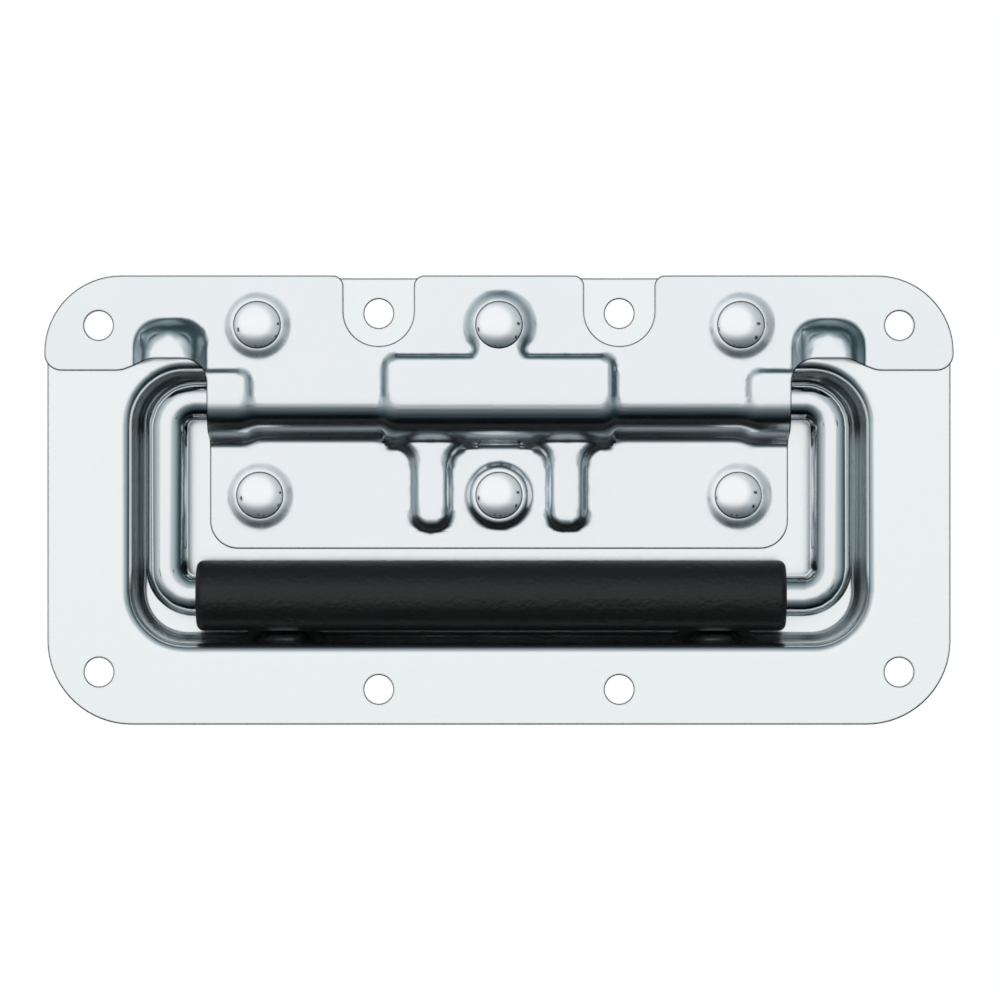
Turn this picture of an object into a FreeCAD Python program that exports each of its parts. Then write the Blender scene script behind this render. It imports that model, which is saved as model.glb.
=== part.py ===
"""Recessed pull handle for the wall of a case, with a bail that springs back into its dish.

The frame has X to the right, Z up and the front towards -Y. The origin is the middle of the back
face of the dish's flange, which seats on the case. Lengths are millimetres and angles degrees.

A pressed sheet is made from two dies. Layer 0 of a sheet is its front face and layer 1 its back
face, one sheet thickness deeper. The sheet is the first die less the second, trimmed to its outline.
"""
import FreeCAD, Part
import math
import os
import re

import Sketcher

SIZES = [
    ("sheet", 1.2, "thickness of the dish and of the cover plate"),
    ("plate_width", 172.0, "flange of the dish, across"),
    ("plate_height", 85.0, "flange of the dish, up"),
    ("plate_corner", 16.0, "corner radius of the flange"),
    ("flange_side", 16.0, "flange beside the recess"),
    ("flange_above", 17.7, "flange above the recess"),
    ("flange_below", 15.3, "flange below the recess"),
    ("recess_depth", 10.3, "from the flange's back face to the floor of the dish"),
    ("recess_corner", 10.2, "corner radius of the recess at the flange"),
    ("recess_draft", 5.0, "lean of the recess walls, in degrees"),
    ("flange_bend", 1.2, "bend from flange to wall, on the back of the sheet"),
    ("floor_bend", 1.5, "bend from wall to floor, on the front of the sheet"),
    ("hole_size", 5.5, "mounting holes"),
    ("hole_side", 9.8, "corner mounting holes, from the flange's sides"),
    ("hole_above", 9.0, "upper corner holes, from the flange's top"),
    ("hole_below", 10.0, "lower corner holes, from the flange's bottom"),
    ("inner_hole_across", 22.9, "inner mounting holes, each side of the middle"),
    ("inner_hole_edge", 6.7, "inner mounting holes, from the top and bottom"),
    ("rod_size", 8.0, "round bar of the bail"),
    ("bearing_gap", 0.3, "room round the bar in its channel"),
    ("pivot_below", 5.4, "axis of the bail, below the recess's top"),
    ("arm_side", 6.5, "centre line of each arm, from the recess's side"),
    ("grip_above", 9.2, "axis of the grip, above the recess's bottom"),
    ("bail_bend", 5.3, "bends of the bail, on the bar's centre line"),
    ("bail_end", 9.0, "ends of the bar, each side of the middle"),
    ("grip_size", 13.5, "grip sleeve, outside"),
    ("grip_side", 7.2, "from a grip's end to the arm's centre line"),
    ("grip_slide", 1.5, "how far the sleeve has slid to the left"),
    ("grip_fit", 0.05, "room between grip and bar, on the radius"),
    ("grip_round", 1.4, "rounded ends of the grip"),
    ("cover_overlap", 0.5, "cover beyond the flange's edge"),
    ("cover_corner", 14.6, "upper corners of the cover"),
    ("wing_above", 5.5, "lower edge of the cover's wings, above the pivot"),
    ("wing_corner", 3.2, "lower corner of each wing"),
    ("notch_width", 13.4, "notches over the inner holes"),
    ("notch_below", 6.2, "foot of each notch, below its hole's middle"),
    ("notch_entry", 2.0, "rounded mouth of each notch"),
    ("barrel_side", 7.9, "from a barrel's end to the arm's centre line"),
    ("wall_lean", 12.0, "lean of the barrel's wall, in degrees"),
    ("foot_bend", 1.8, "bend from the barrel's wall to the lower flange"),
    ("lower_above", 8.9, "lower edge of the cover, above the grip's axis"),
    ("lower_corner", 5.4, "lower corners of the cover"),
    ("hood_in", 0.9, "middle of each hood, inwards of the arm"),
    ("hood_half", 6.95, "half width of a hood at its foot"),
    ("hood_edge", 7.7, "top of a hood, from the flange's top"),
    ("hood_corner", 4.8, "upper corners of a hood"),
    ("hood_rise", 4.0, "height of a hood above the cover"),
    ("hood_run", 2.4, "lean of a hood's sides, measured along the cover"),
    ("lip_above", 7.7, "middle of the hood's open lip, above the pivot"),
    ("hood_round", 3.4, "rounding of a hood's top"),
    ("lip_round", 4.5, "corners of the lip"),
    ("centre_half", 22.5, "half width of the spring housing"),
    ("centre_above", 8.7, "top of the spring housing, above the pivot"),
    ("centre_rise", 1.3, "height of the spring housing above the barrel"),
    ("centre_run", 1.3, "slope at the housing's top"),
    ("centre_end_run", 1.9, "slope at the housing's ends"),
    ("centre_corner", 2.3, "upper corners of the spring housing"),
    ("end_length", 8.8, "length of each bearing swell"),
    ("end_above", 5.8, "top of each bearing swell, above the pivot"),
    ("end_rise", 1.0, "height of a bearing swell above the barrel"),
    ("end_run", 1.0, "slope at a swell's top"),
    ("end_end_run", 2.0, "slope at a swell's inner end"),
    ("end_corner", 2.4, "upper corner of a bearing swell"),
    ("swell_sink", 0.02, "how deep a raised stretch ends inside the lower flange"),
    ("rib_across", 13.0, "middle of each spring rib"),
    ("rib_half", 3.9, "half width of a rib at its foot"),
    ("rib_lower", 3.4, "lower end of a rib, above the cover's lower edge"),
    ("shoulder_below", 9.2, "where a rib meets the barrel, below the pivot"),
    ("rib_flare", 3.0, "radius where a rib runs out into the barrel"),
    ("rib_rise", 2.0, "height of a rib"),
    ("rib_run", 1.6, "slope of a rib's sides"),
    ("rivet_side", 9.6, "outer rivets, from the barrel's ends"),
    ("rivet_edge", 8.9, "upper rivets, from the flange's top"),
    ("rivet_lower", 10.3, "lower rivets, above the cover's lower edge"),
    ("boss_foot", 13.0, "rivet boss, across its foot"),
    ("boss_rise", 1.3, "height of a middle rivet boss"),
    ("boss_run", 1.2, "lean of a middle boss's side"),
    ("side_boss_rise", 0.7, "height of an outer rivet boss"),
    ("side_boss_run", 1.6, "lean of an outer boss's side"),
    ("boss_round", 0.6, "rounding of a boss"),
    ("neck_half", 4.9, "half width of the neck from the middle boss to the spring housing"),
    ("rivet_head", 9.1, "rivet head, across"),
    ("rivet_dome", 1.7, "rivet head, height"),
    ("rivet_rim", 0.3, "straight rim of the rivet head"),
    ("rivet_shank", 4.8, "rivet shank"),
    ("rivet_room", 0.1, "room round the shank, on the radius"),
    ("rivet_tail", 7.4, "upset tail of the rivet"),
    ("tail_height", 0.6, "height of the tail"),
    ("seat_gap", 2.5, "from the spring housing to a bearing seat"),
    ("seat_side", 1.6, "from a bearing seat to the barrel's end"),
    ("seat_below", 3.0, "lower edge of a bearing seat, below the pivot"),
    ("seat_slope", 2.0, "slope from the seat down to the floor"),
    ("room_above", 6.6, "top of the room for the springs, above the pivot"),
    ("stop_side", 14.8, "middle of each grip stop, from the grip's end"),
    ("stop_crest", 2.9, "half width of a stop's crest"),
    ("stop_foot", 8.0, "half width of a stop's foot"),
    ("stop_lean", 22.0, "lean of a stop's face, in degrees"),
    ("stop_top", 3.4, "top of a stop's face, behind the flange's back face"),
    ("stop_fall", 1.6, "slope of a stop's top"),
    ("stop_gap", 0.3, "from the grip to the face of a stop"),
    ("stop_drop", 3.0, "how far a stop's sides fall away into the corner"),
    ("wire_size", 1.3, "spring wire"),
    ("coil_gap", 0.15, "from the bar to the coil, and between turns"),
    ("coil_turns", 5.0, "turns of each spring"),
    ("leg_short", 1.9, "lower end of a spring's leg, above the rib's end"),
    ("leg_below", 5.4, "where a leg reaches the floor, below the pivot"),
    ("leg_gap", 0.05, "from a leg to the floor"),
    ("hook_rise", 1.5, "from the coil's end up to the hook"),
    ("hook_bend", 1.0, "bend of the hook"),
    ("hook_depth", 2.2, "depth of a spring's end in the bar"),
    ("hook_gap", 0.1, "room round that end, on the radius"),
    ("die_margin", 25.0, "die blocks, beyond the flange and the floor"),
]

# Places worked out from the sizes, each written once as an expression
PLACES = {
    "recess_half": "plate_width / 2 - flange_side",
    "recess_top": "plate_height / 2 - flange_above",
    "recess_bottom": "flange_below - plate_height / 2",
    "corner_hole_across": "plate_width / 2 - hole_side",
    "corner_hole_above": "plate_height / 2 - hole_above",
    "corner_hole_below": "hole_below - plate_height / 2",
    "inner_hole_above": "plate_height / 2 - inner_hole_edge",
    "pivot_depth": "rod_size / 2 + bearing_gap - sheet",
    "pivot_height": "recess_top - pivot_below",
    "arm_across": "recess_half - arm_side",
    "grip_height": "recess_bottom + grip_above",
    "grip_length": "2 * (arm_across - grip_side)",
    "barrel_half": "arm_across - barrel_side",
    "wing_bottom": "pivot_height + wing_above",
    "notch_bottom": "inner_hole_above - notch_below",
    "lower_edge": "grip_height + lower_above",
    "hood_across": "arm_across - hood_in",
    "hood_top": "plate_height / 2 - hood_edge",
    "hood_lip": "pivot_height + lip_above",
    "centre_top": "pivot_height + centre_above",
    "end_inner": "barrel_half - end_length",
    "end_top": "pivot_height + end_above",
    "rib_end": "lower_edge + rib_lower",
    "rib_shoulder": "pivot_height - shoulder_below",
    "rivet_across": "barrel_half - rivet_side",
    "rivet_above": "plate_height / 2 - rivet_edge",
    "rivet_below": "lower_edge + rivet_lower",
    "seat_inner": "centre_half + seat_gap",
    "seat_outer": "barrel_half - seat_side",
    "seat_foot": "pivot_height - seat_below",
    "spring_room": "pivot_height + room_above",
    "stop_across": "grip_length / 2 - stop_side",
    "leg_foot": "pivot_height - leg_below",
    "leg_end": "rib_end + leg_short",
    "block_half": "plate_width / 2 + die_margin",
    "block_top": "plate_height / 2 + die_margin",
    "block_back": "recess_depth + die_margin",
    "draft_wall": "sheet * (1 - sin(recess_draft * 1 deg)) / cos(recess_draft * 1 deg)",
    "coil_pitch": "wire_size + coil_gap",
    "coil_radius": "rod_size / 2 + coil_gap + wire_size / 2",
    "hook_across": "rib_across + coil_turns * coil_pitch",
}

# Rounded slope of a pressed form, from its foot to its crest: shares of the run and of the rise
SLOPE = [(0, 0), (0.3, 0.48), (0.62, 0.82), (1, 1)]

doc = FreeCAD.newDocument("recessed_pull_handle")
sizes = doc.addObject("Spreadsheet::Sheet", "sizes")
for row, (name, size, note) in enumerate(SIZES, 1):
    sizes.set(f"A{row}", name)
    sizes.set(f"B{row}", str(size))
    sizes.setAlias(f"B{row}", name)
    sizes.set(f"C{row}", note)
doc.recompute()

NAMES = {name for name, size, note in SIZES}

CLOSE = 0.02
# Share of a half width that a round end takes, so that its two arcs never quite meet
ROUND_END = 0.98
RIB_TIP = 0.9
SIDES = [("left", -1), ("right", 1)]
COLUMNS = [("left", -1, "side_boss"), ("middle", 0, "boss"), ("right", 1, "side_boss")]
ROWS = [("upper", "rivet_above"), ("lower", "rivet_below")]


def bound(text):
    """The expression with each place worked out, and each size's name pointing into the sheet."""
    def term(match):
        word = match.group()
        if word in PLACES:
            return f"({bound(PLACES[word])})"
        return f"sizes.{word}" if word in NAMES else word
    return re.sub(r"[a-z]+(?:_[a-z]+)*", term, str(text))


def value(text):
    """The number that an expression gives now."""
    number = sizes.evalExpression(bound(text))
    return float(getattr(number, "Value", number))


def slope_wall(run, rise):
    """How far a leaning side moves along its plate, for one sheet thickness deeper."""
    return f"(sheet * (sqrt({run} ^ 2 + {rise} ^ 2) - {run}) / {rise})"


def new_body(name):
    return doc.addObject("PartDesign::Body", name)


def new_sketch(body, name, plane, offset="0"):
    """A sketch on one of the body's origin planes, moved along the plane's normal."""
    sketch = body.newObject("Sketcher::SketchObject", name)
    support = [feature for feature in body.Origin.OriginFeatures if feature.Role == plane][0]
    sketch.AttachmentSupport = [(support, "")]
    sketch.MapMode = "FlatFace"
    sketch.setExpression("AttachmentOffset.Base.z", bound(offset))
    return sketch


def fix(sketch, constraint, text):
    """Add a constraint whose size follows an expression."""
    index = sketch.addConstraint(constraint)
    sketch.setExpression(f"Constraints[{index}]", bound(text))


def draw(sketch, corners, closed=True):
    """A line through corners (x, y, radius), each rounded where its radius is more than zero."""
    count = len(corners)
    points = [FreeCAD.Vector(value(x), value(y), 0) for x, y, radius in corners]
    radii = [value(radius) for x, y, radius in corners]
    before, after, middles = list(points), list(points), [None] * count
    for i, point in enumerate(points):
        if radii[i] <= 0:
            continue
        to_last = (points[i - 1] - point).normalize()
        to_next = (points[(i + 1) % count] - point).normalize()
        half = to_last.getAngle(to_next) / 2
        inward = (to_last + to_next).normalize()
        before[i] = point + to_last * (radii[i] / math.tan(half))
        after[i] = point + to_next * (radii[i] / math.tan(half))
        middles[i] = point + inward * (radii[i] / math.sin(half) - radii[i])
    pairs = [(i, (i + 1) % count) for i in range(count if closed else count - 1)]
    lines = [sketch.addGeometry(Part.LineSegment(after[i], before[j]), False) for i, j in pairs]
    for i, (x, y, radius) in enumerate(corners):
        first = lines[i - 1] if closed or i > 0 else None
        second = lines[i] if closed or i < count - 1 else None
        if middles[i] is None:
            if first is not None and second is not None:
                sketch.addConstraint(Sketcher.Constraint("Coincident", first, 2, second, 1))
            anchor = (second, 1) if second is not None else (first, 2)
        else:
            arc = sketch.addGeometry(Part.Arc(before[i], middles[i], after[i]), False)
            near = 1 if (sketch.getPoint(arc, 1) - before[i]).Length < CLOSE else 2
            anchor = (sketch.addGeometry(Part.Point(points[i]), True), 1)
            sketch.addConstraint(Sketcher.Constraint("Tangent", first, 2, arc, near))
            sketch.addConstraint(Sketcher.Constraint("Tangent", arc, 3 - near, second, 1))
            sketch.addConstraint(Sketcher.Constraint("PointOnObject", anchor[0], 1, first))
            sketch.addConstraint(Sketcher.Constraint("PointOnObject", anchor[0], 1, second))
            fix(sketch, Sketcher.Constraint("Radius", arc, radii[i]), radius)
        fix(sketch, Sketcher.Constraint("DistanceX", -1, 1, anchor[0], anchor[1], points[i].x), x)
        fix(sketch, Sketcher.Constraint("DistanceY", -1, 1, anchor[0], anchor[1], points[i].y), y)


def draw_circle(sketch, x, y, radius):
    centre = FreeCAD.Vector(value(x), value(y), 0)
    circle = sketch.addGeometry(Part.Circle(centre, FreeCAD.Vector(0, 0, 1), value(radius)), False)
    fix(sketch, Sketcher.Constraint("DistanceX", -1, 1, circle, 3, centre.x), x)
    fix(sketch, Sketcher.Constraint("DistanceY", -1, 1, circle, 3, centre.y), y)
    fix(sketch, Sketcher.Constraint("Radius", circle, value(radius)), radius)


def pad(body, name, sketch, length, run=None, both_ways=False, backwards=False):
    """Raise a sketch. A run makes the sides lean inwards by that much over the length."""
    feature = body.newObject("PartDesign::Pad", name)
    feature.Profile = sketch
    feature.Midplane = both_ways
    feature.Reversed = backwards
    feature.setExpression("Length", bound(length))
    if run is not None:
        feature.setExpression("TaperAngle", bound(f"-atan({run} / ({length}))"))
    doc.recompute()
    return feature


def raise_soft(body, name, plan, plane, rise, run):
    """A raised form with soft sides, as a stack of pads. The plan gives its corners for an inset."""
    for number, ((along, up), (next_along, next_up)) in enumerate(zip(SLOPE, SLOPE[1:])):
        sketch = new_sketch(body, f"{name}_plan_{number}", "XZ_Plane", f"-({plane} - {up} * {rise})")
        draw(sketch, plan(f"({along} * {run})"))
        pad(body, f"{name}_{number}", sketch, f"{next_up - up} * {rise}", f"{next_along - along} * {run}")


def pocket(body, name, sketch, depth, draft=None):
    feature = body.newObject("PartDesign::Pocket", name)
    feature.Profile = sketch
    feature.setExpression("Length", bound(depth))
    if draft is not None:
        feature.setExpression("TaperAngle", bound(f"{draft} * 1 deg"))
    doc.recompute()
    return feature


def loft(body, name, sections):
    """A straight-sided solid through sketches."""
    feature = body.newObject("PartDesign::AdditiveLoft", name)
    feature.Profile = sections[0]
    feature.Sections = sections[1:]
    feature.Ruled = True
    doc.recompute()
    return feature


def round_edges(body, name, radius, wanted):
    """Fillet the edges of the body's last feature whose middle and box pass the test."""
    base = body.Tip
    edges = []
    for number, edge in enumerate(base.Shape.Edges, 1):
        middle = edge.valueAt((edge.FirstParameter + edge.LastParameter) / 2)
        if wanted(middle, edge.BoundBox):
            edges.append(f"Edge{number}")
    feature = body.newObject("PartDesign::Fillet", name)
    feature.Base = (base, edges)
    feature.setExpression("Radius", bound(radius))
    doc.recompute()
    return feature


def combine(kind, name, base, tool):
    """A boolean of two objects: Cut, Common or Fuse."""
    feature = doc.addObject(f"Part::{kind}", name)
    feature.Base = getattr(base, "Tip", base)
    feature.Tool = getattr(tool, "Tip", tool)
    doc.recompute()
    return feature


def at(number, place):
    return abs(number - place) < CLOSE


# Cover plate: one pressed sheet that closes over the bar and ties the dish together

def cover_section(layer, rise, top, run=None):
    """Corners (depth, height, radius) of a cover die, cut across the barrel. A run makes a raised stretch."""
    plate = f"(({layer} - 2) * sheet)"
    sunk = "0" if run is None else "swell_sink"
    front = f"({plate} - {rise})"
    curve = f"(rod_size / 2 + bearing_gap + (1 - {layer}) * sheet + {rise})"
    lower = f"(recess_depth + ({layer} - 1) * sheet + {sunk})"
    lean = "(wall_lean * 1 deg)"
    chin = f"(pivot_height - {curve} * (1 - sin{lean}) / cos{lean})"
    foot = f"(pivot_height - {curve} / cos{lean} - ({lower} - pivot_depth) * tan{lean})"
    shoulder = [(front, top, 0)]
    if run is not None:
        shoulder = [(f"({plate} - {up} * {rise})", f"({top} - {along} * {run})", 0) for along, up in SLOPE]
    return [
        ("block_back", top, 0),
        *shoulder,
        (front, chin, curve),
        (lower, foot, f"(foot_bend + {layer} * sheet)"),
        (lower, "-block_top", 0),
        ("block_back", "-block_top", 0),
    ]


def swell_end(end, outward, rise, run, top, corner):
    """Stations (across, rise, top) from the foot of a raised stretch's end up to its full height."""
    stations = []
    for along, up in SLOPE:
        inset = f"({along} * {run})"
        fall = f"({corner} - sqrt({corner} ^ 2 - ({corner} - {inset}) ^ 2))"
        stations.append((f"({end} - {outward} * {inset})", f"({up} * {rise})", f"({top} - {fall})"))
    stations.append((f"({end} - {outward} * {corner})", rise, top))
    return stations


def swell(body, name, layer, run, stations):
    """A raised stretch of the barrel: the same section standing further out, with soft ends."""
    sections = []
    for number, (across, height, top) in enumerate(stations):
        sketch = new_sketch(body, f"{name}_section_{number}", "YZ_Plane", across)
        draw(sketch, cover_section(layer, height, top, run))
        sections.append(sketch)
    return loft(body, name, sections)


def bosses(body, name, layer, height, plane):
    """Three raised seats for rivets. Layers count from the front of the cover plate."""
    for column, place, form in COLUMNS:
        inset = f"({layer} * {slope_wall(form + '_run', form + '_rise')})"
        sketch = new_sketch(body, f"{name}_{column}_plan", "XZ_Plane", f"-{plane}")
        draw_circle(sketch, f"{place} * rivet_across", height, f"boss_foot / 2 - {inset}")
        pad(body, f"{name}_{column}", sketch, form + "_rise", form + "_run")


def hood(body, name, layer, sign, plane):
    """A raised hood over the bend of the bail, open below."""
    inset = f"({layer} * {slope_wall('hood_run', 'hood_rise')})"
    inner = f"({sign} * (hood_across - hood_half + {inset}))"
    outer = f"({sign} * (hood_across + hood_half - {inset}))"
    bottom = "(wing_bottom - hood_rise)"
    top = f"(hood_top - {inset})"
    corner = f"(hood_corner - {inset})"
    sketch = new_sketch(body, f"{name}_plan", "XZ_Plane", f"-{plane}")
    draw(sketch, [(outer, bottom, 0), (outer, top, corner), (inner, top, corner), (inner, bottom, 0)])
    return pad(body, name, sketch, "hood_rise", "hood_run")


def rib(body, name, layer, sign, plane):
    """A raised channel for a spring's leg, running out into the foot of the barrel."""
    foot_inset = f"({layer} * {slope_wall('rib_run', 'rib_rise')})"
    middle = f"{sign} * rib_across"

    def plan(inset):
        half = f"(rib_half - {foot_inset} - {inset})"
        wide = "(rib_half + rib_flare + rib_run)"
        end = f"(rib_end + {foot_inset} + {inset})"
        shoulder = f"(rib_shoulder + {inset})"
        flare = f"(rib_flare + {inset})"
        head = "(rib_shoulder + rib_flare + 2 * rib_run)"
        return [
            (f"{middle} - {half}", end, f"({half} * {RIB_TIP})"),
            (f"{middle} + {half}", end, f"({half} * {RIB_TIP})"),
            (f"{middle} + {half}", shoulder, flare),
            (f"{middle} + {wide} + {inset}", shoulder, 0),
            (f"{middle} + {wide} + {inset}", head, 0),
            (f"{middle} - {wide} - {inset}", head, 0),
            (f"{middle} - {wide} - {inset}", shoulder, 0),
            (f"{middle} - {half}", shoulder, flare),
        ]
    raise_soft(body, name, plan, plane, "rib_rise", "rib_run")


def cover_die(layer):
    """The solid behind one face of the cover plate."""
    face = ["front", "back"][layer]
    plate = f"(({layer} - 2) * sheet)"
    lower = f"(recess_depth + ({layer} - 1) * sheet)"
    plate_depth = value(plate)
    lower_depth = value(lower)
    body = new_body(f"cover_{face}_die")
    sketch = new_sketch(body, f"cover_{face}_section", "YZ_Plane")
    draw(sketch, cover_section(layer, "0", "block_top"))
    pad(body, f"cover_{face}_sheet", sketch, "2 * block_half", both_ways=True)

    for side, sign in SIDES:
        hood(body, f"hood_{face}_{side}", layer, sign, plate)
    if layer == 0:
        crest = plate_depth - value("hood_rise")
        pivot_height = value("pivot_height")
        low = value("wing_bottom - 2 * hood_rise")
        high = value("hood_top + hood_rise")
        round_edges(body, "hood_crest", "hood_round",
                    lambda middle, box: at(middle.y, crest) and box.YLength < CLOSE
                    and box.ZMax > pivot_height)
        round_edges(body, "hood_foot", "boss_round",
                    lambda middle, box: at(middle.y, plate_depth) and box.YLength < CLOSE
                    and box.ZMin > low and box.ZMax < high)

    bosses(body, f"upper_bosses_{face}", layer, "rivet_above", plate)
    bosses(body, f"lower_bosses_{face}", layer, "rivet_below", lower)
    if layer == 0:
        side_rise = value("side_boss_rise")
        middle_crest = lower_depth - value("boss_rise")
        inner = value("rivet_across - boss_foot")
        outer = value("rivet_across + boss_foot")
        foot = value("boss_foot")
        across = value("boss_foot + boss_run")
        upper = (value("rivet_above - boss_foot"), value("rivet_above + boss_foot"))
        low = (value("rivet_below - boss_foot"), value("rivet_below + boss_foot"))
        round_edges(body, "side_boss_crest", "boss_round",
                    lambda middle, box: box.YLength < CLOSE and box.XLength < foot
                    and abs(middle.x) > inner
                    and (at(middle.y, plate_depth - side_rise) or at(middle.y, lower_depth - side_rise)))
        round_edges(body, "middle_boss_crest", "boss_round",
                    lambda middle, box: box.YLength < CLOSE and box.XLength < foot
                    and abs(middle.x) < inner and at(middle.y, middle_crest))
        round_edges(body, "lower_boss_foot", "boss_round",
                    lambda middle, box: box.YLength < CLOSE and box.XLength < across
                    and at(middle.y, lower_depth) and low[0] < box.ZMin and box.ZMax < low[1])
        round_edges(body, "upper_boss_foot", "boss_round",
                    lambda middle, box: box.YLength < CLOSE and box.XLength < across
                    and at(middle.y, plate_depth) and upper[0] < box.ZMin and box.ZMax < upper[1]
                    and inner < abs(middle.x) < outer)

    inset = f"({layer} * {slope_wall('centre_run', 'centre_rise')})"
    half = f"(centre_half - {inset})"
    top = f"(centre_top - {inset})"
    ends = [swell_end(f"({sign} * {half})", sign, "centre_rise", "centre_end_run", top, "centre_corner")
            for side, sign in SIDES]
    swell(body, f"spring_housing_{face}", layer, "centre_run", ends[0] + ends[1][::-1])

    def neck_plan(inner):
        narrow = f"(neck_half - {inset} - {inner})"
        start = "(centre_top - 2 * centre_run)"
        return [(f"-{narrow}", start, 0), (narrow, start, 0), (narrow, "rivet_above", 0),
                (f"-{narrow}", "rivet_above", 0)]
    raise_soft(body, f"neck_{face}", neck_plan, plate, "centre_rise", "centre_run")

    inset = f"({layer} * {slope_wall('end_run', 'end_rise')})"
    for side, sign in SIDES:
        end = f"({sign} * (end_inner + {inset}))"
        stations = swell_end(end, -sign, "end_rise", "end_end_run", f"(end_top - {inset})", "end_corner")
        stations.append((f"({sign} * (barrel_half + rod_size / 2))", "end_rise", f"(end_top - {inset})"))
        swell(body, f"bearing_{face}_{side}", layer, "end_run", stations)
    for side, sign in SIDES:
        rib(body, f"rib_{face}_{side}", layer, sign, lower)
    return body


def rivet_holes(sketch):
    for row, height in ROWS:
        for column, place, form in COLUMNS:
            draw_circle(sketch, f"{place} * rivet_across", height, "rivet_shank / 2 + rivet_room")


def cover_trim():
    """The outline of the cover plate seen from the front, with its holes."""
    body = new_body("cover_trim")
    sketch = new_sketch(body, "cover_outline", "XZ_Plane")
    side = "(plate_width / 2 + cover_overlap)"
    top = "(plate_height / 2 + cover_overlap)"
    notch_in = "(inner_hole_across - notch_width / 2)"
    notch_out = "(inner_hole_across + notch_width / 2)"
    notch_round = f"(notch_width / 2 * {ROUND_END})"
    lip_out = "(hood_across + hood_half / 2)"
    lip_foot = "(hood_across + hood_half + hood_run)"
    right = [
        (notch_in, top, "notch_entry"),
        (notch_in, "notch_bottom", notch_round),
        (notch_out, "notch_bottom", notch_round),
        (notch_out, top, "notch_entry"),
        (side, top, "cover_corner"),
        (side, "wing_bottom", "wing_corner"),
        (lip_foot, "wing_bottom", "lip_round"),
        (lip_out, "hood_lip", "lip_round"),
        ("barrel_half", "hood_lip", "lip_round"),
        ("barrel_half", "lower_edge", "lower_corner"),
    ]
    left = [(f"-{x}", z, radius) for x, z, radius in reversed(right)]
    draw(sketch, right + left)
    for side, sign in SIDES:
        draw_circle(sketch, f"{sign} * corner_hole_across", "corner_hole_above", "hole_size / 2")
    rivet_holes(sketch)
    pad(body, "cover_outline_block", sketch, "2 * block_back", both_ways=True)
    return body


# Dish: one drawn sheet with a flange all round, which carries every other piece

def dish_die(layer):
    """The solid behind one face of the dish."""
    face = ["front", "back"][layer]
    plate = f"(({layer} - 1) * sheet)"
    floor = f"(recess_depth + {layer} * sheet)"
    plate_depth = value(plate)
    floor_depth = value(floor)
    body = new_body(f"dish_{face}_die")
    block = new_sketch(body, f"dish_{face}_block", "XZ_Plane", f"-{plate}")
    draw(block, [("-block_half", "-block_top", 0), ("block_half", "-block_top", 0),
                 ("block_half", "block_top", 0), ("-block_half", "block_top", 0)])
    pad(body, f"dish_{face}_flange", block, f"block_back - {plate}", backwards=True)

    grown = f"({layer} * draft_wall)"
    half = f"(recess_half + {grown})"
    top = f"(recess_top + {grown})"
    bottom = f"(recess_bottom - {grown})"
    corner = f"(recess_corner + {grown})"
    opening = new_sketch(body, f"recess_{face}_opening", "XZ_Plane", f"-{plate}")
    draw(opening, [(f"-{half}", bottom, corner), (half, bottom, corner), (half, top, corner),
                   (f"-{half}", top, corner)])
    pocket(body, f"recess_{face}", opening, "recess_depth + sheet", "-recess_draft")
    round_edges(body, f"flange_bend_{face}", f"flange_bend + (1 - {layer}) * sheet",
                lambda middle, box: at(middle.y, plate_depth) and box.YLength < CLOSE
                and box.XMax < value("plate_width / 2") and box.XMin > -value("plate_width / 2"))
    round_edges(body, f"floor_bend_{face}", f"floor_bend + {layer} * sheet",
                lambda middle, box: at(middle.y, floor_depth) and box.YLength < CLOSE
                and box.XMax < value("plate_width / 2") and box.XMin > -value("plate_width / 2"))

    room = new_sketch(body, f"spring_room_{face}_plan", "XZ_Plane", f"-{plate}")
    wide = f"(centre_half + {layer} * sheet)"
    ceiling = f"(spring_room + {layer} * sheet)"
    draw(room, [(f"-{wide}", "pivot_height", 0), (wide, "pivot_height", 0),
                (wide, ceiling, "floor_bend"), (f"-{wide}", ceiling, "floor_bend")])
    pocket(body, f"spring_room_{face}", room, "recess_depth + sheet")

    bosses(body, f"dish_upper_bosses_{face}", layer + 1, "rivet_above", plate)
    bosses(body, f"dish_lower_bosses_{face}", layer + 1, "rivet_below", floor)
    for side, sign in SIDES:
        bearing_seat(body, f"bearing_seat_{face}_{side}", layer, sign, plate, floor)
        grip_stop(body, f"grip_stop_{face}_{side}", layer, sign, floor)
    return body


def bearing_seat(body, name, layer, sign, plate, floor):
    """A raised seat with a half-round channel, which backs the bar behind the barrel."""
    groove = f"(rod_size / 2 + bearing_gap + {layer} * sheet)"
    back = f"(pivot_depth + {groove})"
    start = f"{sign} * (seat_inner + {layer} * sheet)"
    sketch = new_sketch(body, f"{name}_section", "YZ_Plane", start)
    buried = f"({floor} + sheet)"
    above = "(recess_top + flange_bend + 2 * sheet)"
    draw(sketch, [
        (buried, above, 0),
        (plate, above, 0),
        (plate, f"(pivot_height + {groove})", 0),
        (back, f"(pivot_height + {groove})", groove),
        (back, f"(seat_foot + {layer} * sheet / 2)", 0),
        (floor, f"(seat_foot + {layer} * sheet / 2 - seat_slope)", 0),
        (buried, f"(seat_foot + {layer} * sheet / 2 - seat_slope)", 0),
    ])
    pad(body, name, sketch, f"seat_outer - seat_inner - 2 * {layer} * sheet", backwards=sign < 0)


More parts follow.
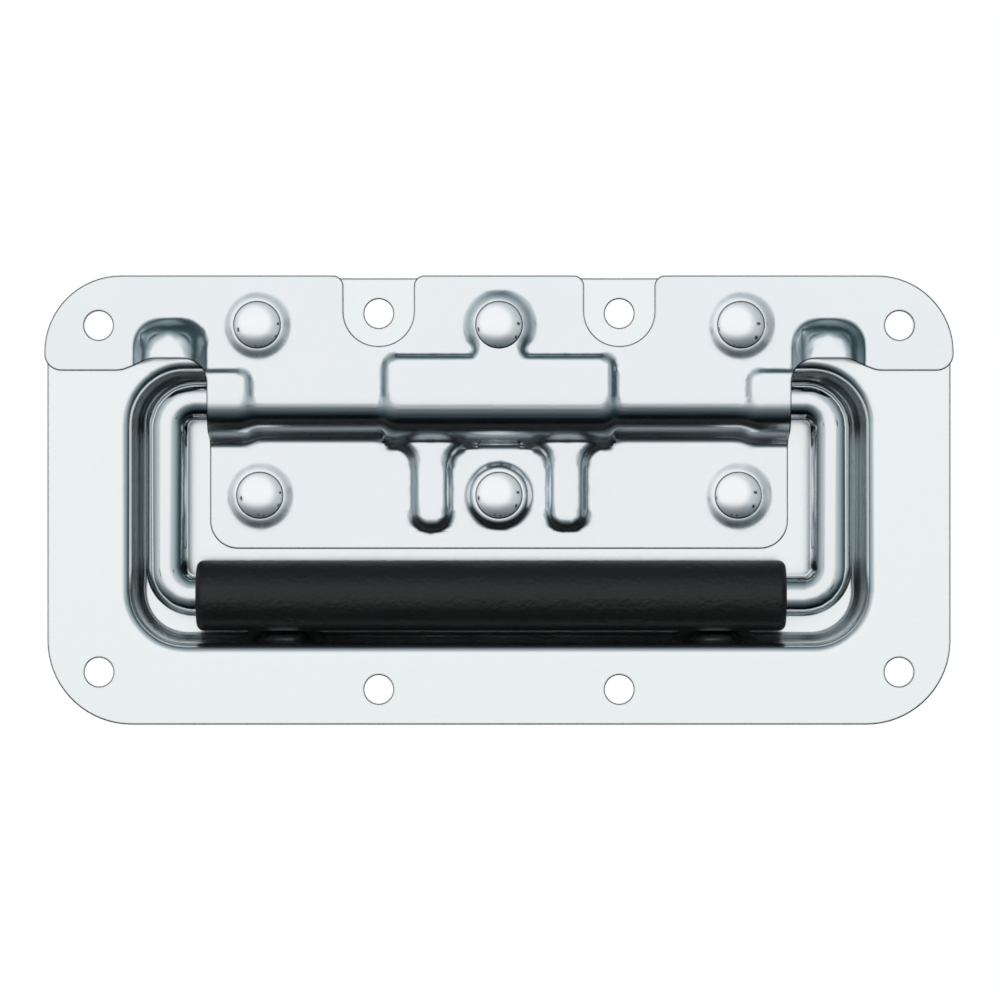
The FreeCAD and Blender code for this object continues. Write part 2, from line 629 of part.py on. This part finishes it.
def grip_stop(body, name, layer, sign, floor):
    """A raised ramp in the corner of the recess, which the closed grip rests against."""
    lean = "(stop_lean * 1 deg)"
    buried = f"({floor} + sheet)"
    start = f"(stop_top + {layer} * sheet)"
    top = f"({start} - stop_fall)"
    under = "(recess_bottom - 2 * stop_foot)"
    stations = [("-stop_foot", "stop_drop"), ("-stop_crest", "0"),
                ("stop_crest", "0"), ("stop_foot", "stop_drop")]
    sections = []
    for number, (across, drop) in enumerate(stations):
        reach = f"(grip_size / 2 + stop_gap + {layer} * sheet + {drop})"
        low = f"(grip_height - {reach} / cos{lean} + ({start} - pivot_depth) * tan{lean})"
        high = f"(grip_height - {reach} / cos{lean} + ({buried} - pivot_depth) * tan{lean})"
        sketch = new_sketch(body, f"{name}_section_{number}", "YZ_Plane", f"{sign} * stop_across + {across}")
        draw(sketch, [(start, low, 0), (buried, high, 0), (buried, under, 0), (top, under, 0)])
        sections.append(sketch)
    return loft(body, name, sections)


def dish_trim():
    """The outline of the dish's flange, with its holes."""
    body = new_body("dish_trim")
    sketch = new_sketch(body, "dish_outline", "XZ_Plane")
    across = "plate_width / 2"
    up = "plate_height / 2"
    draw(sketch, [(f"-{across}", f"-{up}", "plate_corner"), (across, f"-{up}", "plate_corner"),
                  (across, up, "plate_corner"), (f"-{across}", up, "plate_corner")])
    for side, sign in SIDES:
        draw_circle(sketch, f"{sign} * corner_hole_across", "corner_hole_above", "hole_size / 2")
        draw_circle(sketch, f"{sign} * corner_hole_across", "corner_hole_below", "hole_size / 2")
        draw_circle(sketch, f"{sign} * inner_hole_across", "inner_hole_above", "hole_size / 2")
        draw_circle(sketch, f"{sign} * inner_hole_across", "-inner_hole_above", "hole_size / 2")
    rivet_holes(sketch)
    pad(body, "dish_outline_block", sketch, "2 * block_back", both_ways=True)
    return body


# Bail: one bent round bar, with a grip sleeve pushed on its long side

def bail():
    body = new_body("bail_bar")
    path = new_sketch(body, "bail_path", "XZ_Plane", "-pivot_depth")
    draw(path, [
        ("-bail_end", "pivot_height", 0),
        ("-arm_across", "pivot_height", "bail_bend"),
        ("-arm_across", "grip_height", "bail_bend"),
        ("arm_across", "grip_height", "bail_bend"),
        ("arm_across", "pivot_height", "bail_bend"),
        ("bail_end", "pivot_height", 0),
    ], closed=False)
    round_bar = new_sketch(body, "bail_bar_section", "YZ_Plane", "-bail_end")
    draw_circle(round_bar, "pivot_depth", "pivot_height", "rod_size / 2")
    doc.recompute()
    pipe = body.newObject("PartDesign::AdditivePipe", "bent_bar")
    pipe.Profile = round_bar
    pipe.Spine = (path, [f"Edge{number}" for number in range(1, len(path.Shape.Edges) + 1)])
    doc.recompute()
    holes = new_sketch(body, "hook_holes_plan", "XZ_Plane", "-(pivot_depth + rod_size / 2)")
    for side, sign in SIDES:
        draw_circle(holes, f"{sign} * hook_across", "pivot_height + hook_rise", "wire_size / 2 + hook_gap")
    feature = pocket(body, "hook_holes", holes, "hook_depth + hook_gap")
    feature.Reversed = True
    doc.recompute()
    return body


def grip():
    body = new_body("grip_tube")
    sketch = new_sketch(body, "grip_section", "YZ_Plane", "-grip_slide")
    draw_circle(sketch, "pivot_depth", "grip_height", "grip_size / 2")
    draw_circle(sketch, "pivot_depth", "grip_height", "rod_size / 2 + grip_fit")
    pad(body, "grip_length_pad", sketch, "grip_length", both_ways=True)
    end = value("grip_length / 2")
    slide = value("grip_slide")
    radius = value("grip_size / 2")
    round_edges(body, "grip_ends", "grip_round",
                lambda middle, box: at(abs(middle.x + slide), end) and at(box.ZLength, 2 * radius))
    return body


# Springs: two wound wires round the bar's ends, each with a leg in a rib of the cover

def bent_line(points, radius):
    """Straight runs through the points, joined by tangent arcs."""
    edges = []
    last = points[0]
    for before, point, after in zip(points, points[1:], points[2:]):
        back = (before - point).normalize()
        onward = (after - point).normalize()
        half = back.getAngle(onward) / 2
        inward = (back + onward).normalize()
        start = point + back * (radius / math.tan(half))
        end = point + onward * (radius / math.tan(half))
        nearest = point + inward * (radius / math.sin(half) - radius)
        edges.append(Part.LineSegment(last, start).toShape())
        edges.append(Part.Arc(start, nearest, end).toShape())
        last = end
    edges.append(Part.LineSegment(last, points[-1]).toShape())
    return edges


def spring_wire():
    """The right-hand spring: a leg down the rib, the coil, and an end hooked into the bar."""
    radius = value("coil_radius")
    pitch = value("coil_pitch")
    length = pitch * value("coil_turns")
    wire = value("wire_size")
    pivot = FreeCAD.Vector(value("rib_across"), value("pivot_depth"), value("pivot_height"))
    turn = FreeCAD.Rotation(FreeCAD.Vector(0, 1, 0), FreeCAD.Vector(0, 0, 1), FreeCAD.Vector(1, 0, 0), "XYZ")
    helix = Part.makeHelix(pitch, length, radius)
    helix.Placement = FreeCAD.Placement(pivot, turn)
    start = pivot + FreeCAD.Vector(0, radius, 0)
    finish = start + FreeCAD.Vector(length, 0, 0)
    along = FreeCAD.Vector(pitch / (2 * math.pi), 0, radius).normalize()
    knee = start - along * 2 * wire
    floor = value("recess_depth - leg_gap") - wire / 2
    foot = FreeCAD.Vector(knee.x, floor, value("leg_foot"))
    tip = FreeCAD.Vector(knee.x, floor, value("leg_end"))
    leg = bent_line([tip, foot, knee, start], wire)
    elbow = finish + along * value("hook_rise")
    inner_end = value("pivot_depth + rod_size / 2 - hook_depth")
    hook = bent_line([finish, elbow, FreeCAD.Vector(elbow.x, inner_end, elbow.z)], value("hook_bend"))
    path = Part.Wire(leg + helix.Edges + hook)
    section = Part.Wire(Part.makeCircle(wire / 2, tip, FreeCAD.Vector(0, 0, 1)))
    return path.makePipeShell([section], True, True)


# Rivets: each clamps the cover to the dish at a boss, with its tail sunk behind the flange

def rivet(name, place, height, front, rise):
    body = new_body(name + "_body")
    sketch = new_sketch(body, name + "_profile", "YZ_Plane")
    head = "(rivet_head / 2)"
    shank = "(rivet_shank / 2)"
    tail = "(rivet_tail / 2)"
    seat = f"({front} - {rise})"
    far = f"({seat} + 2 * sheet)"
    end = f"({far} + tail_height)"
    crown = "(rivet_dome - rivet_rim)"
    dome = f"(({head} ^ 2 + {crown} ^ 2) / (2 * {crown}))"
    draw(sketch, [
        (f"({seat} - rivet_dome)", "0", 0),
        (f"({seat} - rivet_dome)", f"{dome} * tan(asin({head} / {dome}) / 2)", f"{ROUND_END} * {dome}"),
        (f"({seat} - rivet_rim)", head, 0),
        (seat, head, 0),
        (seat, shank, 0),
        (far, shank, 0),
        (far, tail, 0),
        (end, tail, "rivet_rim"),
        (end, "0", 0),
    ])
    feature = body.newObject("PartDesign::Revolution", name + "_turned")
    feature.Profile = sketch
    feature.ReferenceAxis = (sketch, ["H_Axis"])
    feature.Angle = 360
    body.setExpression("Placement.Base.x", bound(f"{place} * rivet_across"))
    body.setExpression("Placement.Base.z", bound(height))
    doc.recompute()
    return body


# Build

cover_pressing = combine("Cut", "cover_pressing", cover_die(0), cover_die(1))
cover_plate = combine("Common", "cover_plate", cover_pressing, cover_trim())
dish_pressing = combine("Cut", "dish_pressing", dish_die(0), dish_die(1))
dish = combine("Common", "dish", dish_pressing, dish_trim())
parts = {"dish": dish, "cover_plate": cover_plate, "bail": bail(), "grip_sleeve": grip()}

spring_right = doc.addObject("Part::Feature", "spring_right")
spring_right.Shape = spring_wire()
spring_left = doc.addObject("Part::Mirroring", "spring_left")
spring_left.Source = spring_right
spring_left.Normal = FreeCAD.Vector(1, 0, 0)
parts["spring_right"] = spring_right
parts["spring_left"] = spring_left

for row, height in ROWS:
    front = {"upper": "(-2 * sheet)", "lower": "(recess_depth - sheet)"}[row]
    for column, place, form in COLUMNS:
        name = f"rivet_{row}_{column}"
        parts[name] = rivet(name, place, height, front, form + "_rise")
doc.recompute()

failed = [item.Name for item in doc.Objects if "Invalid" in item.State or "Error" in item.State]
if failed:
    raise RuntimeError(f"these objects failed: {failed}")
os.makedirs("parts", exist_ok=True)
for name, item in parts.items():
    item.Label = name
    shape = item.Shape
    if shape.isNull() or not shape.isValid() or len(shape.Solids) != 1:
        raise RuntimeError(f"{name} is not one valid solid")
for name, item in parts.items():
    item.Shape.exportStep(f"parts/{name}.step")
    print(f"{name}: {item.Shape.Volume / 1000:.2f} cm3, {len(item.Shape.Faces)} faces")
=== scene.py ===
"""Looks of the recessed pull handle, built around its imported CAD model.

Every piece stays where the CAD has it. The pressed sheets, the bent bar, the rivets and the grip are
shown as copies of their CAD meshes with the facets merged, so that the plating reflects smoothly. The
folds of the cover and the stops of the dish are then relaxed, and the rivets' domes pressed flatter.
The two springs keep their CAD meshes.
"""
import math

import bmesh
import bpy
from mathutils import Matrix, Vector


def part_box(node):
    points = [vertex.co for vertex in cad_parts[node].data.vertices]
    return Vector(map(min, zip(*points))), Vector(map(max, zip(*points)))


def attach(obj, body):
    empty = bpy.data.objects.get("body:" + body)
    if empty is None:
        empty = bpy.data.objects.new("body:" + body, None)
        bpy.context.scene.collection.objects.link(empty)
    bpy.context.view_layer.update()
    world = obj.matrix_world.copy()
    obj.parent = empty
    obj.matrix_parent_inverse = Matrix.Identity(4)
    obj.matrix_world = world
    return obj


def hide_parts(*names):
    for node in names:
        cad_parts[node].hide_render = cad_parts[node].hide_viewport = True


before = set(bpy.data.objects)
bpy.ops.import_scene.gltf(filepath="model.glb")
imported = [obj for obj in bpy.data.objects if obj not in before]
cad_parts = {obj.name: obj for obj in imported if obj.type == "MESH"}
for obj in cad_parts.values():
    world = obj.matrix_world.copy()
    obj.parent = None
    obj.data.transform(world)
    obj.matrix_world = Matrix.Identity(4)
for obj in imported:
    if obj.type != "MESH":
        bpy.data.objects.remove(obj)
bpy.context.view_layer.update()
MM = 0.001


# Dish
# The real dish is one drawn sheet of steel, 1.2 mm thick, trimmed and punched after drawing.
# It carries every other piece. Its zinc plating is a cold, bluish white with a soft cloudy bloom.


class Sockets:
    """A shader output that takes part in Python sums. Each operator adds its Math node."""

    def __init__(self, tree, socket):
        self.tree = tree
        self.socket = socket

    def _math(self, operation, first, second):
        maths = self.tree.nodes.new("ShaderNodeMath")
        maths.operation = operation
        for port, item in zip(maths.inputs, (first, second)):
            if isinstance(item, Sockets):
                self.tree.links.new(item.socket, port)
            else:
                port.default_value = item
        return Sockets(self.tree, maths.outputs[0])

    def __add__(self, other):
        return self._math("ADD", self, other)

    def __radd__(self, other):
        return self._math("ADD", other, self)

    def __sub__(self, other):
        return self._math("SUBTRACT", self, other)

    def __rsub__(self, other):
        return self._math("SUBTRACT", other, self)

    def __mul__(self, other):
        return self._math("MULTIPLY", self, other)

    def __rmul__(self, other):
        return self._math("MULTIPLY", other, self)


class Nodes:
    """A node tree that is being built."""

    def __init__(self, tree):
        self.tree = tree
        self.tree.nodes.clear()

    def node(self, kind, settings=None, output=0, **values):
        """The wanted output of a new node of that type, or None where it has no outputs.

        Settings come first, then the values or links of its sockets, by name or as port_0, port_1.
        """
        made = self.tree.nodes.new(kind)
        for key, setting in (settings or {}).items():
            if key == "stops":
                while len(made.color_ramp.elements) < len(setting):
                    made.color_ramp.elements.new(0.5)
                for element, (place, colour) in zip(made.color_ramp.elements, setting):
                    element.position = place
                    element.color = (*colour, 1)
            else:
                setattr(made, key, setting)
        for key, item in values.items():
            numbered = key.startswith("port_")
            port = made.inputs[int(key[len("port_"):]) if numbered else key.replace("_", " ")]
            if isinstance(item, Sockets):
                self.tree.links.new(item.socket, port)
            elif isinstance(item, tuple) and len(item) == 3 and port.type == "RGBA":
                port.default_value = (*item, 1)
            else:
                port.default_value = item
        return Sockets(self.tree, made.outputs[output]) if made.outputs else None


class Finish(Nodes):
    """A material that is being built."""

    def __init__(self, name):
        self.material = bpy.data.materials.new(name)
        self.material.use_nodes = True
        super().__init__(self.material.node_tree)

    def place(self, scale=(1, 1, 1)):
        """Object coordinates, stretched by a scale on each axis."""
        coordinates = self.node("ShaderNodeTexCoord", output=3)
        return self.node("ShaderNodeMapping", Vector=coordinates, Scale=scale)

    def noise(self, place, scale, detail, roughness):
        return self.node("ShaderNodeTexNoise", Vector=place, Scale=scale, Detail=detail,
                         Roughness=roughness)

    def show(self, shader):
        """The finished material, with that shader as its surface."""
        self.node("ShaderNodeOutputMaterial", Surface=shader)
        return self.material

    def close(self, **values):
        return self.show(self.node("ShaderNodeBsdfPrincipled", **values))


# Patterns of the plating, as cycles in a metre
BLOOM = 45
WAVES = 110
FINE_MARKS = 700
# Rounding of an edge for the light, and how fast the colour turns to a painted dark shade at edges and in
# creases
EDGE_RADIUS = 0.60 * MM
EDGE_SAMPLES = 8
EDGE_SHARPNESS = 12.0
# Colour of the painted shade laid along edges and in creases, standing in for their shadow and dark
# reflections
EDGE_SHADE_COLOUR = (0.10, 0.11, 0.115)


def plating(name, colour, cloud_colour, rough, rough_change, wave_height):
    """Bright zinc over smooth steel: slow waves from pressing, a cloudy bloom, painted shade at edges and
    creases.
    """
    finish = Finish(name)
    place = finish.place()
    cloud = finish.noise(place, BLOOM, 3.0, 0.55)
    fine = finish.noise(place, FINE_MARKS, 3.0, 0.6)
    tint = finish.node("ShaderNodeMix", {"data_type": "RGBA"}, 2, Factor=cloud, A=colour, B=cloud_colour)
    waves = finish.noise(place, WAVES, 1.0, 0.4)
    rolled = finish.node("ShaderNodeBevel", {"samples": EDGE_SAMPLES}, Radius=EDGE_RADIUS)
    facing = finish.node("ShaderNodeNewGeometry", output=1)
    level = finish.node("ShaderNodeVectorMath", {"operation": "DOT_PRODUCT"}, 1, port_0=rolled,
                        port_1=facing)
    # Painted shade: the colour darkens where the rounded normal turns away from the face, at edges and in
    # creases
    painted_edge_shade = finish.node("ShaderNodeClamp", Value=EDGE_SHARPNESS * (1.0 - level))
    shade = finish.node("ShaderNodeMix", {"data_type": "RGBA"}, 2, Factor=painted_edge_shade, A=tint, B=EDGE_SHADE_COLOUR)
    bump = finish.node("ShaderNodeBump", Height=waves + 0.03 * fine, Strength=1.0, Distance=wave_height,
                       Normal=rolled)
    return finish.close(Base_Color=shade, Metallic=1.0, Normal=bump,
                        Roughness=rough + rough_change * (cloud + 0.5 * fine))


dish_finish = plating("zinc on the dish", (0.84, 0.885, 0.89), (0.90, 0.94, 0.94), 0.13, 0.10, 0.012 * MM)


# Corners of the CAD's facets nearer than this are one
WELD_DISTANCE = 0.0005 * MM
# Folds sharper than this stay sharp
SMOOTH_ANGLE = math.radians(32)
# Relaxed forms are divided down to edges of this length, in so many halvings
FINE_EDGE = 0.6 * MM
DIVISIONS = 6
# Y of the normal of a face that looks to the front, at most
FRONT_FACING = -0.05


def soften(form, low, high, rounds, crease=SMOOTH_ANGLE, fine_edge=FINE_EDGE, front_only=False):
    """Round a pressed form inside a box: divide its faces finely, then relax all but its creases."""
    def inside(point):
        return all(low[axis] < point[axis] < high[axis] for axis in range(3))

    def taken(face):
        return not front_only or face.normal.y < FRONT_FACING

    for halving in range(DIVISIONS):
        form.normal_update()
        long_edges = [edge for edge in form.edges if edge.calc_length() > fine_edge
                      and any(taken(face) for face in edge.link_faces)
                      and (inside(edge.verts[0].co) or inside(edge.verts[1].co)
                           or inside((edge.verts[0].co + edge.verts[1].co) / 2))]
        bmesh.ops.subdivide_edges(form, edges=long_edges, cuts=1)
        bmesh.ops.triangulate(form, faces=[face for face in form.faces if len(face.verts) > 3])
    form.normal_update()
    free = [vert for vert in form.verts if inside(vert.co)
            and all(taken(face) for face in vert.link_faces)
            and all(edge.calc_face_angle(0) < crease for edge in vert.link_edges)]
    for smoothing in range(rounds):
        bmesh.ops.smooth_vert(form, verts=free, factor=0.5, use_axis_x=True, use_axis_y=True,
                              use_axis_z=True)


def clean_copy(node, body, material, shape=None, smooth_angle=SMOOTH_ANGLE):
    """A copy of a CAD node, merged, shaped and shaded smooth, which replaces the node."""
    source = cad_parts[node]
    mesh = source.data.copy()
    form = bmesh.new()
    form.from_mesh(mesh)
    bmesh.ops.remove_doubles(form, verts=form.verts, dist=WELD_DISTANCE)
    if shape is not None:
        shape(form)
    for face in form.faces:
        face.smooth = True
        face.material_index = 0
    for edge in form.edges:
        edge.smooth = len(edge.link_faces) == 2 and edge.calc_face_angle(0) < smooth_angle
    form.to_mesh(mesh)
    form.free()
    if "custom_normal" in mesh.attributes:
        mesh.attributes.remove(mesh.attributes["custom_normal"])
    mesh.materials.clear()
    mesh.materials.append(material)
    piece = bpy.data.objects.new(f"{node}_finished", mesh)
    bpy.context.scene.collection.objects.link(piece)
    weighted = piece.modifiers.new("even shading", "WEIGHTED_NORMAL")
    weighted.keep_sharp = True
    weighted.weight = 100
    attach(piece, body)
    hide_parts(node)
    return piece


# The stops: their middles and half widths, how far they reach below and above the grip's underside,
# and how deep in the dish they start and end
STOP_ACROSS = 41.5 * MM
STOP_HALF = 9.5 * MM
STOP_BELOW_GRIP = 4.5 * MM
STOP_ABOVE_GRIP = 4 * MM
STOP_FRONT = 0.4 * MM
STOP_OFF_FLOOR = 2 * MM
STOP_ROUNDS = 40
STOP_CREASE = math.radians(100)
# The feet of the rivets' bosses are creases, so that the flats round them mirror as flats
BOSS_FOOT_ANGLE = math.radians(18)


def soften_stops(form):
    """The two bulges in the dish's lower wall, which the closed grip rests against."""
    floor_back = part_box("dish")[1][1]
    grip_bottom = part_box("grip_sleeve")[0][2]
    for side in (-1, 1):
        middle = side * STOP_ACROSS
        soften(form, (middle - STOP_HALF, STOP_FRONT, grip_bottom - STOP_BELOW_GRIP),
               (middle + STOP_HALF, floor_back - STOP_OFF_FLOOR, grip_bottom + STOP_ABOVE_GRIP),
               STOP_ROUNDS, STOP_CREASE)


clean_copy("dish", "dish", dish_finish, soften_stops, BOSS_FOOT_ANGLE)


# Cover plate
# One pressed sheet over the upper half of the dish. Its barrel closes over the bar, its hoods clear
# the bends of the bail, and its housing and ribs hold the springs and their legs.

cover_finish = plating("zinc on the cover", (0.79, 0.83, 0.86), (0.90, 0.93, 0.95), 0.13, 0.10, 0.014 * MM)
# The hoods: their middles and half widths, lower and upper ends, and where they rise from the wing
HOOD_ACROSS = 62.6 * MM
HOOD_HALF = 7.3 * MM
HOOD_LIP = 25.5 * MM
HOOD_TOP = 35.2 * MM
HOOD_FOOT = -2.45 * MM
HOOD_ROUNDS = 90
# All between the barrel's ends, short of the plate's lower and upper edges
BARREL_HALF = 55.5 * MM
LOWER_RIM = 1 * MM
UPPER_RIM = 2 * MM
PRESSED_EDGE = 0.8 * MM
PRESSED_ROUNDS = 8
COVER_CREASE = math.radians(86)


def soften_pressings(form):
    """Two domed hoods, and then the front of the barrel, the spring housing, the ribs and the bosses."""
    low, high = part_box("cover_plate")
    front, back = low[1] - MM, high[1] + MM
    for side in (-1, 1):
        middle = side * HOOD_ACROSS
        soften(form, (middle - HOOD_HALF, front, HOOD_LIP), (middle + HOOD_HALF, HOOD_FOOT, HOOD_TOP),
               HOOD_ROUNDS)
    soften(form, (-BARREL_HALF, front, low[2] + LOWER_RIM), (BARREL_HALF, back, high[2] - UPPER_RIM),
           PRESSED_ROUNDS, COVER_CREASE, PRESSED_EDGE, front_only=True)


clean_copy("cover_plate", "dish", cover_finish, soften_pressings)


# Rivets
# Six steel rivets hold the cover plate to the dish. Their low domed heads are bright plated and set
# cold, so the domes are nearly mirrors.

rivet_finish = plating("polished rivet", (0.88, 0.90, 0.905), (0.93, 0.94, 0.94), 0.05, 0.04, 0.010 * MM)
# Height of the dome above its rim in the CAD, and the share of it that is kept
DOME_HEIGHT = 1.4 * MM
DOME_SHARE = 0.62


def flatten_dome(form):
    """Press the dome down onto its rim, as the setting tool leaves it."""
    top = min(vert.co.y for vert in form.verts)
    rim = top + DOME_HEIGHT
    for vert in form.verts:
        if vert.co.y < rim:
            vert.co.y = rim + (vert.co.y - rim) * DOME_SHARE


for row in ("upper", "lower"):
    for column in ("left", "middle", "right"):
        clean_copy(f"rivet_{row}_{column}", "dish", rivet_finish, flatten_dome)


# Bail
# An 8 mm round steel bar, bent cold into a frame and bright plated. Its two ends turn in the barrel,
# and its long side carries the grip.

rod_finish = plating("bright zinc bar", (0.78, 0.81, 0.83), (0.85, 0.87, 0.88), 0.07, 0.05, 0.006 * MM)
clean_copy("bail", "bail", rod_finish)


# Springs
# Two torsion springs of plain drawn wire, wound round the bar's ends inside the barrel, which pull the
# bail shut. They keep their CAD meshes.

spring_finish = plating("drawn spring wire", (0.30, 0.30, 0.31), (0.38, 0.38, 0.38), 0.28, 0.12, 0.004 * MM)
for node in ("spring_right", "spring_left"):
    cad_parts[node].data.materials.clear()
    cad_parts[node].data.materials.append(spring_finish)


# Grip
# A soft black rubber sleeve, moulded with a fine leathery grain. It is pushed on the long side of the
# bail before the last bend, and stays by its own tight fit.

# Patterns of the rubber, as cycles in a metre, and the height of its grain
GRAIN = 1500
LUMPS = 650
DUST = 60
GRAIN_STRETCH = (0.75, 1, 1)
GRAIN_HEIGHT = 0.11 * MM


def grip_rubber():
    """Soft black rubber: a fine grain over low lumps, and a breath of dust."""
    finish = Finish("grained black rubber")
    place = finish.place()
    along = finish.place(GRAIN_STRETCH)
    grain = finish.node("ShaderNodeTexVoronoi", {"feature": "SMOOTH_F1"}, Vector=along, Scale=GRAIN,
                        Smoothness=0.8, Randomness=1.0)
    lumps = finish.noise(place, LUMPS, 2.0, 0.5)
    dust = finish.noise(place, DUST, 4.0, 0.6)
    bump = finish.node("ShaderNodeBump", Height=0.6 * grain + lumps, Strength=1.0, Distance=GRAIN_HEIGHT)
    tone = finish.node("ShaderNodeMix", {"data_type": "RGBA"}, 2, Factor=dust, A=(0.009, 0.0095, 0.009),
                       B=(0.016, 0.0165, 0.016))
    return finish.close(Base_Color=tone, Roughness=0.42 + 0.12 * dust, Normal=bump)


clean_copy("grip_sleeve", "bail", grip_rubber())


# Studio
# A white ground behind the handle, and one wide soft light in front of it and above, as in a
# catalogue shot. What lies beside and below the light is a dark, faintly blue room.

def studio_sky():
    """Light by direction. Camera rays see the plain white ground."""
    world = bpy.data.worlds.new("studio")
    bpy.context.scene.world = world
    world.use_nodes = True
    sky = Nodes(world.node_tree)
    direction = sky.node("ShaderNodeTexCoord", output=0)
    front = sky.node("ShaderNodeSeparateXYZ", output=1, Vector=direction)
    height = sky.node("ShaderNodeSeparateXYZ", output=2, Vector=direction)
    by_height = sky.node("ShaderNodeValToRGB", {"stops": HEIGHT_LIGHT}, Fac=0.5 + 0.5 * height)
    across = sky.node("ShaderNodeSeparateXYZ", output=0, Vector=direction)
    toward = LIGHT_AXIS[0] * across + LIGHT_AXIS[1] * front + LIGHT_AXIS[2] * height
    by_front = sky.node("ShaderNodeValToRGB", {"stops": FRONT_LIGHT}, Fac=0.5 + 0.5 * toward)
    light = sky.node("ShaderNodeMix", {"data_type": "RGBA", "blend_type": "MULTIPLY"}, 2, Factor=1.0,
                     A=by_height, B=by_front)
    seen = sky.node("ShaderNodeLightPath", output=0)
    shown = sky.node("ShaderNodeMix", {"data_type": "RGBA"}, 2, Factor=seen, A=light, B=(1.0, 1.0, 1.0))
    glow = sky.node("ShaderNodeBackground", Color=shown, Strength=1.0)
    sky.node("ShaderNodeOutputWorld", Surface=glow)


# Light by height, from straight down to straight up
HEIGHT_LIGHT = [(0.0, (0.012, 0.014, 0.015)), (0.04, (0.03, 0.036, 0.04)), (0.12, (0.16, 0.18, 0.19)),
                (0.20, (0.26, 0.29, 0.30)), (0.30, (0.48, 0.51, 0.52)), (0.40, (0.94, 0.95, 0.95)),
                (0.50, (1.0, 1.0, 1.0)), (0.80, (0.95, 0.97, 0.98)), (1.0, (0.55, 0.60, 0.62))]
# Middle of the soft light, and the light from straight away from it to straight towards it
LIGHT_AXIS = Vector((-0.14, -1.0, 0.13)).normalized()
FRONT_LIGHT = [(0.0, (1.0, 1.0, 1.0)), (0.05, (0.9, 0.93, 0.94)), (0.13, (0.03, 0.055, 0.065)),
               (0.54, (0.03, 0.055, 0.065)), (0.63, (0.08, 0.125, 0.145)), (0.735, (0.27, 0.33, 0.355)),
               (0.82, (0.44, 0.49, 0.51)), (0.905, (0.62, 0.66, 0.68)), (0.957, (1.0, 1.0, 1.0)),
               (1.0, (1.0, 1.0, 1.0))]
studio_sky()


def stage_panel(name, centre, across, up, facing, material):
    """A flat panel of the studio, which isn't part of the handle."""
    form = bmesh.new()
    bmesh.ops.create_grid(form, x_segments=1, y_segments=1, size=0.5)
    bmesh.ops.scale(form, vec=(across, up, 1), verts=form.verts)
    turn = Vector(facing).to_track_quat("Z", "Y").to_matrix()
    bmesh.ops.rotate(form, matrix=turn, verts=form.verts)
    bmesh.ops.translate(form, vec=centre, verts=form.verts)
    mesh = bpy.data.meshes.new(name)
    form.to_mesh(mesh)
    form.free()
    mesh.materials.append(material)
    panel = bpy.data.objects.new(name, mesh)
    bpy.context.scene.collection.objects.link(panel)
    return panel


# Small dark things in the studio, which the bright bar and the domes mirror: name, degrees to the
# right and up as seen from the handle, and size
DARK_THINGS = [("left_stand", -39, -5, 0.10, 0.16), ("right_stand", 36, 5, 0.16, 0.10),
               ("right_case", 34, -19, 0.12, 0.14), ("low_stand_left", -9, -37, 0.05, 0.10),
               ("low_stand_right", 3, -39, 0.05, 0.10)]
STAND_DISTANCE = 1.3
black_cloth = Finish("black cloth").close(Base_Color=(0.015, 0.018, 0.02), Roughness=0.9)
for name, right, up, width, height in DARK_THINGS:
    right, up = math.radians(right), math.radians(up)
    toward = Vector((math.sin(right) * math.cos(up), -math.cos(right) * math.cos(up), math.sin(up)))
    stand = stage_panel(name, toward * STAND_DISTANCE, width, height, -toward, black_cloth)
    stand.visible_camera = False

FLOOR_HEIGHT = -0.30
FLOOR_SIZE = 4.0
pale_floor = Finish("pale floor").close(Base_Color=(0.86, 0.86, 0.86), Roughness=0.8)
floor = stage_panel("floor", (0, 0, FLOOR_HEIGHT), FLOOR_SIZE, FLOOR_SIZE, (0, 0, 1), pale_floor)
floor.is_shadow_catcher = True
floor.visible_glossy = False

# The camera looks straight at the handle on a long lens, from one metre in front of it
CAMERA_PLACE = (0.19 * MM, -1.0012, 0.29 * MM)
camera_data = bpy.data.cameras.new("camera")
camera_data.lens = 189.0
camera_data.sensor_width = 36.0
camera = bpy.data.objects.new("camera", camera_data)
bpy.context.scene.collection.objects.link(camera)
bpy.context.scene.camera = camera
camera.location = CAMERA_PLACE
camera.rotation_euler = (math.radians(90), 0, 0)

bpy.context.scene.view_settings.view_transform = "Standard"
